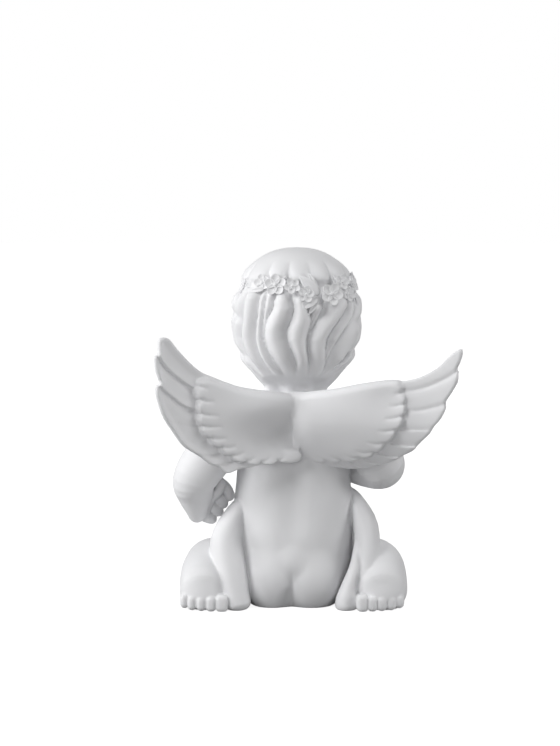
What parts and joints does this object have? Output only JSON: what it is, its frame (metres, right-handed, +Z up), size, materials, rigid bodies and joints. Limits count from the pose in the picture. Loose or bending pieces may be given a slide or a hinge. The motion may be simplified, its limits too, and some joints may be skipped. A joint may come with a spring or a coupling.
{
  "type": "seated child angel figurine",
  "caption": "Small seated child angel in white bisque porcelain, with swept-back feathered wings, waved hair, a blossom wreath and a cloth over its lap; stands on its flat underside.",
  "frame": {"origin": "on the flat underside, at ground level, under the middle of the back", "axes": "+Z up; the figure faces -Y, so its wings and bare back look toward +Y, and its own left side is +X"},
  "size_m": [0.0877, 0.0638, 0.105],
  "materials": {
    "bisque": "matt unglazed white porcelain"
  },
  "bodies": {
    "root": {"angel": "bisque"}
  },
  "joints": []
}
